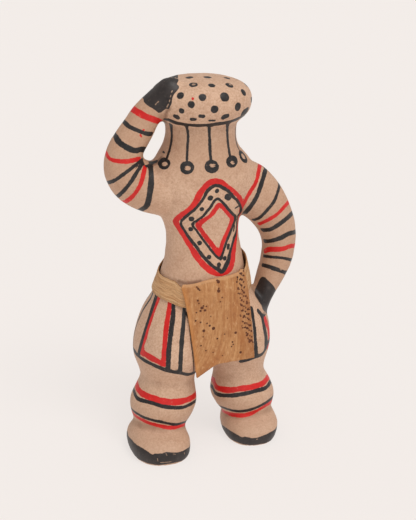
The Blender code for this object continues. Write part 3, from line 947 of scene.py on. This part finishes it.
def bark_cloth():
    """Tan inner bark: long grain, with dark pores in a strip and in clusters."""
    material, tree, shader = new_material("Bark cloth")
    across, along = attribute(tree, "across"), attribute(tree, "along")
    place = {0: across, 1: maths(tree, "MULTIPLY", along, 0.07), 2: 0.0}
    place = add(tree, "ShaderNodeCombineXYZ", place).outputs[0]
    streak = noisy(tree, place, 1.5, 4, 0.6, 0.3)
    wide = noisy(tree, place, 0.33, 3, 0.55, 0.5)
    solid = object_place(tree, (1, 1, 0.6))
    patch = noisy(tree, solid, 120, 4, 0.6)
    blotch = noisy(tree, solid, 620, 3, 0.65)
    tan = mix(tree, ranged(tree, wide, 0.36, 0.64), colour(176, 120, 74), colour(197, 145, 97))
    tan = layered(tree, tan, [
        (streak, 0.50, 0.72, 0.6, 151, 95, 56),
        (streak, 0.42, 0.30, 0.5, 214, 168, 120),
        (patch, 0.48, 0.72, 0.6, 168, 106, 62),
        (blotch, 0.52, 0.74, 0.65, 146, 92, 58),
        (blotch, 0.44, 0.28, 0.55, 216, 170, 124),
        (attribute(tree, "left"), 0.0, 1.0, 1.0, 200, 132, 72),
        (attribute(tree, "right"), 0.0, 1.0, 1.0, 150, 96, 62),
        (attribute(tree, "rim"), 0.0, 1.0, 1.0, 214, 168, 124),
    ])

    outside = FAR
    for group in PORE_GROUPS:
        outside = maths(tree, "MINIMUM", outside, edge_of(tree, group, PORE_GUARD))
    ragged = maths(tree, "MULTIPLY", maths(tree, "SUBTRACT", blotch, 0.5), 0.5)
    pore = ranged(tree, maths(tree, "ADD", outside, ragged), 0.10, -0.12)
    dark = mix(tree, ranged(tree, patch, 0.35, 0.65), colour(58, 28, 26), colour(98, 52, 36))
    base = mix(tree, maths(tree, "MULTIPLY", pore, 0.92), tan, dark)
    tree.links.new(base, shader.inputs["Base Color"])
    shader.inputs["Roughness"].default_value = 0.78
    shader.inputs["Specular IOR Level"].default_value = 0.25
    height = maths(tree, "SUBTRACT", streak, maths(tree, "MULTIPLY", pore, 0.9))
    bumped(tree, shader, height, 0.22 * MM, 0.8)
    return material


def bast_strips():
    """Pale straw fibres that run round the waist."""
    material, tree, shader = new_material("Bast")
    across, along = attribute(tree, "across"), attribute(tree, "along")
    place = {0: across, 1: maths(tree, "MULTIPLY", along, 0.045), 2: attribute(tree, "layer")}
    place = add(tree, "ShaderNodeCombineXYZ", place).outputs[0]
    fibre = noisy(tree, place, 2.5, 4, 0.7, 0.4)
    strand = noisy(tree, place, 0.7, 3, 0.6, 0.6)
    straw = mix(tree, ranged(tree, strand, 0.36, 0.64), colour(192, 142, 96), colour(219, 177, 132))
    straw = layered(tree, straw, [
        (fibre, 0.53, 0.62, 0.85, 142, 95, 58),
        (fibre, 0.44, 0.30, 0.7, 232, 196, 152),
        # painted shade: the strips' inner faces are darkened, for the gap between band and body
        (attribute(tree, "inner"), 0.0, 1.0, 0.45, 92, 58, 38),
    ])
    tree.links.new(straw, shader.inputs["Base Color"])
    shader.inputs["Roughness"].default_value = 0.72
    shader.inputs["Specular IOR Level"].default_value = 0.3
    height = maths(tree, "ADD", fibre, maths(tree, "MULTIPLY", strand, 0.8))
    bumped(tree, shader, height, 0.3 * MM, 0.9)
    return material


# The clay figure

# The cap's radius and the height where it starts to narrow, and the two forearms' radii
CAP_RADIUS = 27 * MM
CAP_LOW = 198 * MM
RAISED_RADIUS = 8.6 * MM
LOWERED_RADIUS = 10.5 * MM
# Heights in millimetres
NECK_HEIGHT = 177
WAIST_HEIGHT = 112


def build_figure():
    mesh = fine_copy("figure", CLAY_GRAIN, CLAY_ROUNDS)
    points, edges = mesh_points(mesh), mesh_edges(mesh)
    normals = mesh_normals(mesh)
    swell = np.array([
        noise.noise(Vector(point) / (11 * MM)) + 0.5 * noise.noise(Vector(point) / (4.5 * MM))
        for point in points
    ])
    lift = np.clip(points[:, 2] / (4 * MM), 0, 1)
    points += normals * (swell * lift * 0.16 * MM)[:, None]
    points[:, 2] = np.where(points[:, 2] < 0.3 * MM, 0, points[:, 2])
    low, high = (np.array(corner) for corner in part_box("figure"))
    points = np.clip(points, low, high)
    set_points(mesh, points)

    # Painted shade: the clay is darkened where its surface curves inward, in creases and hollows
    inward = ((neighbour_mean(points, edges) - points) * mesh_normals(mesh)).sum(1)
    hollow_shade = inward[:, None] / MM
    for _ in range(6):
        hollow_shade = neighbour_mean(hollow_shade, edges)
    set_values(mesh, "hollow_shade", np.clip(hollow_shade[:, 0] / 0.030, 0, 1))

    tree = face_tree(mesh)
    strokes = paint_strokes(tree)
    for name in strokes:
        set_strokes(mesh, name, points, strokes[name])

    area = np.minimum(hand_field(points, mesh_normals(mesh), tree), sole_field(points, tree))
    set_values(mesh, "area", np.clip(area, -FAR, FAR))
    # painted shade on the arms, the neck, the waist and the feet
    set_values(mesh, "body_shade", painted_body_shade(points))
    mesh.materials.append(painted_clay())
    figure = new_piece("painted_figure", mesh)
    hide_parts("figure")
    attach(figure, "root")


def hand_field(points, normals, tree):
    """How far each point is outside the two black hands, in millimetres.

    Where the camera sees the clay, the hands' outlines in the picture decide. Elsewhere the raised
    hand ends where the clay is nearer to the cap's round side than to the arm.
    """
    places, depth = picture_places(points)
    to_mm = depth / FOCAL / MM
    facing = ((np.array(EYE) - points) * normals).sum(1) / depth
    hidden = np.clip(0.5 - facing / 0.12, 0, 1)
    cap_room = np.linalg.norm((points - np.array(AXIS))[:, :2], axis=1) / CAP_RADIUS
    cap_room += np.clip(CAP_LOW - points[:, 2], 0, 1) / CAP_RADIUS
    off_arm = (limb_distance(points, RAISED_ARM) / RAISED_RADIUS - cap_room) * 8.0
    raised = outline_distance(places, RAISED_HAND) * to_mm
    for index in np.flatnonzero((raised < 2) & (hidden < 1)):
        step = Vector(points[index]) - EYE
        nearest = tree.ray_cast(EYE, step)[3]
        if nearest and nearest < step.length - 1.5 * MM:
            hidden[index] = 1
    raised = np.maximum(raised, np.where(hidden > 0.5, off_arm, -FAR))
    off_hand = (limb_distance(points, LOWERED_ARM) / LOWERED_RADIUS - 1.25) * 8
    lowered = np.maximum(outline_distance(places, LOWERED_HAND) * to_mm, off_hand)
    front = (points[:, 1] < AXIS.y + 4 * MM) | (points[:, 0] > 40 * MM)
    return np.minimum(raised, np.where(front, lowered, FAR))


def painted_body_shade(points):
    """How much painted shade darkens the clay: on the arms, the neck, the waist and the feet."""
    height = points[:, 2] / MM
    arms = np.minimum(limb_distance(points, RAISED_ARM), limb_distance(points, LOWERED_ARM))
    off_body = np.clip((np.abs(points[:, 0] - AXIS.x) / MM - 22) / 12, 0, 1)
    arms = np.clip(1.8 - arms / (12 * MM), 0, 1) * off_body
    off_axis = np.linalg.norm((points - np.array(AXIS))[:, :2], axis=1)
    neck = np.clip(1.5 - np.abs(height - NECK_HEIGHT) / 12, 0, 1)
    neck *= np.clip(2.4 - off_axis / (14 * MM), 0, 1)
    waist = 0.45 * np.clip(1.4 - np.abs(height - WAIST_HEIGHT) / 22, 0, 1)
    feet = 0.30 * np.clip(1.4 - height / 12, 0, 1)
    return np.maximum.reduce([arms, 0.85 * neck, waist, feet])


def sole_field(points, tree):
    """How far each point is outside the black bands round the soles, in millimetres."""
    height = points[:, 2] / MM
    best = np.full(len(points), FAR)
    for (x, y), line in SOLE_TOPS:
        centre = np.array(AXIS)[:2] + np.array([x, y]) * MM
        seen = np.array([tuple(thrown(tree, *place)) for place in dense(line, SPACING)])
        turns = np.arctan2(seen[:, 1] - centre[1], seen[:, 0] - centre[0])
        rest = np.radians(np.arange(10, 180, 8))
        rest = rest[(rest > turns.max() + 0.25) | (rest < turns.min() + math.tau - 0.25)]
        rest = rest[np.abs(np.angle(np.exp(1j * (rest[:, None] - turns)))).min(1) > 0.3]
        tops = 3.6 + 0.5 * np.sin(5 * rest + 1) + 0.35 * np.sin(13 * rest)
        all_turns = np.concatenate([turns, rest])
        all_tops = np.concatenate([seen[:, 2] / MM, tops])
        order = np.argsort(all_turns)
        turn = np.arctan2(points[:, 1] - centre[1], points[:, 0] - centre[0])
        top = np.interp(turn, all_turns[order], all_tops[order], period=math.tau)
        on_foot = np.abs(points[:, 0] - centre[0]) < 28 * MM
        bottom = 0.75 + 0.3 * np.sin(3 * turn + x) + 0.2 * np.sin(11 * turn)
        band = np.maximum(height - top, bottom - height)
        best = np.where(on_foot, np.minimum(best, band), best)
    return best


# The waistband

BAND_COLUMNS = 480
# Further out than any part of the band
BAND_REACH = 0.05
# Each strip of bast: where it starts and ends across the band, its depth behind the band's outer
# face, its thickness and how much its edges wander
STRIPS = [
    (0.03, 0.95, 0.70, 0.55, 0.3),
    (0.10, 0.72, 0.30, 0.40, 0.5),
    (0.62, 0.90, 0.12, 0.50, 0.8),
    (0.86, 1.00, 0.00, 0.90, 0.35),
    (0.00, 0.12, 0.15, 0.50, 0.3),
]
STRIP_ROWS = 14
# How much of a strip's depth is used, so that the strips lie close together
STRIP_SINK = 0.45


def band_shape():
    """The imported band's lower edge, upper edge and outer radius, round the figure's axis."""
    tree = face_tree(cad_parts["waist_band"].data)
    turns = np.linspace(0, math.tau, BAND_COLUMNS, endpoint=False)
    low, high = (corner.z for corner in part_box("waist_band"))
    heights = np.arange(low, high, 0.25 * MM)
    edges, radii = [], []
    for turn in turns:
        out = outward(turn)
        found = []
        for height in heights:
            start = AXIS + Vector((0, 0, height)) + out * BAND_REACH
            place, _, _, far = tree.ray_cast(start, -out, BAND_REACH)
            if place:
                found.append((height, BAND_REACH - far))
        levels, reaches = zip(*found)
        edges.append((levels[0], levels[-1]))
        at = [levels[0] + (levels[-1] - levels[0]) * k / 8 for k in range(9)]
        radii.append(np.interp(at, levels, reaches))
    return turns, np.array(edges), np.array(radii)


def build_band():
    turns, edges, radii = band_shape()
    vertices, faces, values = [], [], {"across": [], "along": [], "inner": [], "layer": []}
    for layer, (start, end, depth, thick, wander) in enumerate(STRIPS):
        first = len(vertices)
        section = [(k / STRIP_ROWS, 0) for k in range(STRIP_ROWS + 1)]
        section += [(k / STRIP_ROWS, 1) for k in range(STRIP_ROWS, -1, -2)]
        for column, turn in enumerate(turns):
            low, high = edges[column]
            out = np.array([math.cos(turn), math.sin(turn), 0])
            ring = outward(turn) * 3.0
            shift = [
                wander * MM * noise.noise(ring * 2 + Vector((0, 0, 10 * layer + 4 * k)))
                for k in range(2)
            ]
            for share, side in section:
                across = start + (end - start) * share
                height = low + (high - low) * across
                height += shift[0] * (1 - share) + shift[1] * share
                height = min(max(height, low), high)
                radius = np.interp(across, np.linspace(0, 1, 9), radii[column])
                edge = 1 - (2 * share - 1) ** 8
                strand = noise.noise(ring * 1.2 + Vector((0, 0, across * 22 + layer * 9)))
                relief = 0.16 * MM * strand * (1 - side)
                if side == 0:
                    radius += -depth * MM * STRIP_SINK + relief * edge - (1 - edge) * 0.2 * MM
                else:
                    radius += -depth * MM * STRIP_SINK - thick * MM * (0.3 + 0.7 * edge)
                vertices.append(np.array(AXIS) + out * radius + np.array([0, 0, height]))
                values["across"].append(across * 17 + layer * 31)
                values["along"].append(turn * 28)
                values["inner"].append(side)
                values["layer"].append(layer * 4.0)
        count = len(section)
        for column in range(len(turns)):
            here, there = first + column * count, first + (column + 1) % len(turns) * count
            for row in range(count):
                after = (row + 1) % count
                faces.append((here + row, there + row, there + after, here + after))
    mesh = bpy.data.meshes.new("bast_waistband")
    mesh.from_pydata([tuple(v) for v in vertices], [], faces)
    for name, value in values.items():
        set_values(mesh, name, value)
    mesh.shade_smooth()
    mesh.materials.append(bast_strips())
    band = new_piece("bast_waistband", mesh)
    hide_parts("waist_band")
    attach(band, "root")


# The apron

APRON_GRAIN = 0.42 * MM
# The bark's pores: places in the picture and sizes there, then the strip of them down its left side
# as height, middle and width
PORES = [
    (218.4, 281.8, 3.4), (217.2, 280.4, 2.2), (218.7, 291, 3.4), (218.9, 288.4, 1.8),
    (202, 308, 3.2), (205, 310.4, 2.6), (200.6, 311, 2.4), (203.4, 306, 1.8), (206.4, 306.4, 1.6),
    (213.5, 328.4, 3.4), (203.8, 330.9, 3.0), (209.7, 325.7, 2.2), (207, 323.4, 1.8),
    (235.7, 332.7, 2.8), (240.6, 352.3, 2.6), (198.3, 288.8, 2.2), (197.8, 300.7, 2.2),
    (199.6, 290.2, 1.8), (195.6, 320.8, 2.0), (200.5, 322.4, 1.8), (217.3, 338.7, 2.0),
    (232.5, 342, 1.8), (201, 345.7, 1.8), (205.9, 350.6, 1.7), (222.2, 297.5, 1.7),
    (198.9, 303.4, 1.6), (220.4, 301.8, 1.6), (196.8, 287.2, 1.6), (233.2, 344.4, 1.6),
    (196.4, 312.6, 1.5), (203.2, 336.8, 1.5), (224.6, 334.2, 1.5), (231.6, 346.6, 1.4),
    (210.8, 316.4, 1.4), (227.4, 318.2, 1.3), (213.2, 352.4, 1.4), (222.4, 355.6, 1.4),
]
PORE_STRIP = [
    (266, 242.5, 5), (277, 240, 8), (287, 241, 8), (297, 243.6, 9), (307, 245, 10),
    (316, 245.2, 10), (325, 246.4, 9.5), (333, 248.4, 7), (343, 251, 4),
]
PORE_COUNT = 112
# Neighbouring pores are kept in groups of their own, so that they don't run together
PORE_GROUPS = ["pore_a", "pore_b", "pore_c", "pore_d"]


def pore_spots(tree):
    """Round dark pores on the bark; the strip's are spread evenly but never in rows."""
    rows = np.array(PORE_STRIP)
    places = list(PORES)
    for index in range(PORE_COUNT):
        y = rows[0, 0] + (rows[-1, 0] - rows[0, 0]) * (index * 0.754878 % 1)
        middle, width = (np.interp(y, rows[:, 0], rows[:, k]) for k in (1, 2))
        x = middle + width * (index * 0.569840 % 1 - 0.5)
        across, down = (noise.noise(Vector((index * 1.7 + 0.3, 4.4, z))) for z in (9.6, 19.6))
        size = 1.2 + 1.4 * (index * 0.381966 % 1) ** 1.6
        places.append((x + 1.6 * across, y + 2.2 * down, size))
    return [spot(tree, *place) for place in places]


def edge_along(places, heights, rows, pick):
    """The outermost place in each row of heights, evened out, at each of the points."""
    row = np.clip(((heights - heights.min()) / np.ptp(heights) * rows).astype(int), 0, rows - 1)
    ends = np.array([pick(places[row == k]) if (row == k).any() else 0.0 for k in range(rows)])
    return ends[row]


def build_apron():
    mesh = fine_copy("apron_flap", APRON_GRAIN, 14)
    points = mesh_points(mesh)
    low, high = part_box("apron_flap")
    points = np.clip(points, np.array(low), np.array(high))
    set_points(mesh, points)
    x, z = (points[:, 0] - low.x) / MM, (high.z - points[:, 2]) / MM
    lean = 0.55 * np.clip((z - 26) / 34, 0, 1) * np.clip(1 - x / 36, 0, 1)
    set_values(mesh, "across", x + lean * (z - 26))
    set_values(mesh, "along", z)
    tree = face_tree(mesh)
    spots = pore_spots(tree)
    for index, group in enumerate(PORE_GROUPS):
        set_strokes(mesh, group, points, spots[index :: len(PORE_GROUPS)])
    top = edge_along(points[:, 2], points[:, 0], 60, np.max)
    set_values(mesh, "rim", np.clip((points[:, 2] - top) / (1.5 * MM) + 1, 0, 1) * 0.7)
    left = edge_along(points[:, 0], points[:, 2], 60, np.min)
    set_values(mesh, "left", np.clip(1 - (points[:, 0] - left) / (3.2 * MM), 0, 1) * 0.6)
    right = edge_along(points[:, 0], points[:, 2], 60, np.max)
    set_values(mesh, "right", np.clip(1.4 - (right - points[:, 0]) / (6 * MM), 0, 1) * 0.30)
    mesh.materials.append(bark_cloth())
    apron = new_piece("bark_apron", mesh)
    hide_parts("apron_flap")
    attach(apron, "root")


# The setting


def build_setting():
    size = 8.0
    mesh = bpy.data.meshes.new("floor")
    mesh.from_pydata(
        [(-size, -size, 0), (size, -size, 0), (size, size, 0), (-size, size, 0)], [], [(0, 1, 2, 3)]
    )
    floor = new_piece("floor", mesh)
    material, tree, shader = new_material("Pale floor")
    shader.inputs["Base Color"].default_value = (0.20, 0.186, 0.178, 1)
    shader.inputs["Roughness"].default_value = 0.95
    shader.inputs["Specular IOR Level"].default_value = 0.0
    shader.inputs["Emission Color"].default_value = (0.708, 0.671, 0.648, 1)
    shader.inputs["Emission Strength"].default_value = 1.0
    mesh.materials.append(material)

    world = bpy.data.worlds.new("Studio")
    world.use_nodes = True
    background = world.node_tree.nodes["Background"]
    background.inputs["Color"].default_value = (1.0, 0.985, 0.97, 1)
    background.inputs["Strength"].default_value = 0.50
    bpy.context.scene.world = world
    for name, towards, spread, power in (
        ("key", (0.20, -0.54, 0.86), 30, 1.10),
        ("front", (-0.25, -0.90, 0.20), 50, 0.36),
        ("top", (-0.05, -0.15, 1.0), 40, 0.42),
    ):
        lamp = bpy.data.lights.new(name, "SUN")
        lamp.angle = math.radians(spread)
        lamp.energy = power
        lamp.color = (1.0, 0.985, 0.965)
        light = bpy.data.objects.new(name, lamp)
        bpy.context.scene.collection.objects.link(light)
        light.location = towards
        light.rotation_mode = "QUATERNION"
        light.rotation_quaternion = (-Vector(towards)).to_track_quat("-Z", "Y")


def build_camera():
    data = bpy.data.cameras.new("camera")
    data.sensor_width = SENSOR
    data.lens = FOCAL * SENSOR / PICTURE_HEIGHT
    data.clip_start, data.clip_end = 0.01, 50
    camera = bpy.data.objects.new("camera", data)
    bpy.context.scene.collection.objects.link(camera)
    camera.location = EYE
    camera.rotation_mode = "QUATERNION"
    camera.rotation_quaternion = FORWARD.to_track_quat("-Z", "Y")
    bpy.context.scene.camera = camera


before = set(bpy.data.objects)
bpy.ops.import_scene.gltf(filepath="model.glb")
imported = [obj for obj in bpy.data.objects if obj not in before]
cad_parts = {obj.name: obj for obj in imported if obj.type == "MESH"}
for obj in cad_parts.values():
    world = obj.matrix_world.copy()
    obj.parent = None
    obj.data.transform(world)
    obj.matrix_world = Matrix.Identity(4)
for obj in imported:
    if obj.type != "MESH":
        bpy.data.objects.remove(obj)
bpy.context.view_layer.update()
build_camera()
build_setting()
build_figure()
build_band()
build_apron()
bpy.context.scene.view_settings.view_transform = "Standard"
bpy.context.view_layer.update()
